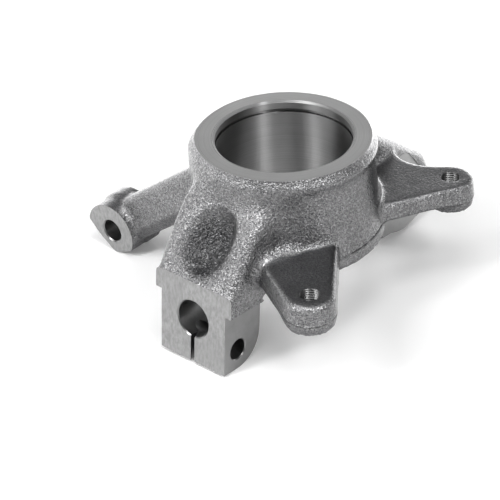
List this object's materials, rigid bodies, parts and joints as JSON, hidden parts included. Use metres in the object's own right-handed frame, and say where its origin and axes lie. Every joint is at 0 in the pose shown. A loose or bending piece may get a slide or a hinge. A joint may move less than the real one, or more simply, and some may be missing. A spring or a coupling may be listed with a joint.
{
  "type": "steering knuckle",
  "caption": "One-piece cast steering knuckle: bearing hub with a split ball joint clamp, a tie rod arm, a strut lug and threaded caliper ears.",
  "frame": {"origin": "centre of the wheel bearing's seat, on the wheel axis", "axes": "+Z along the wheel axis out of the bearing's open side, +X towards the caliper ears and out of the strut lug's milled face, -X towards the tie rod arm, -Y towards the ball joint clamp, +Y towards the strut lug"},
  "size_m": [0.1891, 0.1772, 0.0935],
  "materials": {
    "cast_iron": "bare grey iron, rough as cast, with smooth bored, turned and milled seats"
  },
  "bodies": {
    "root": {"knuckle_casting": "cast_iron"}
  },
  "joints": []
}
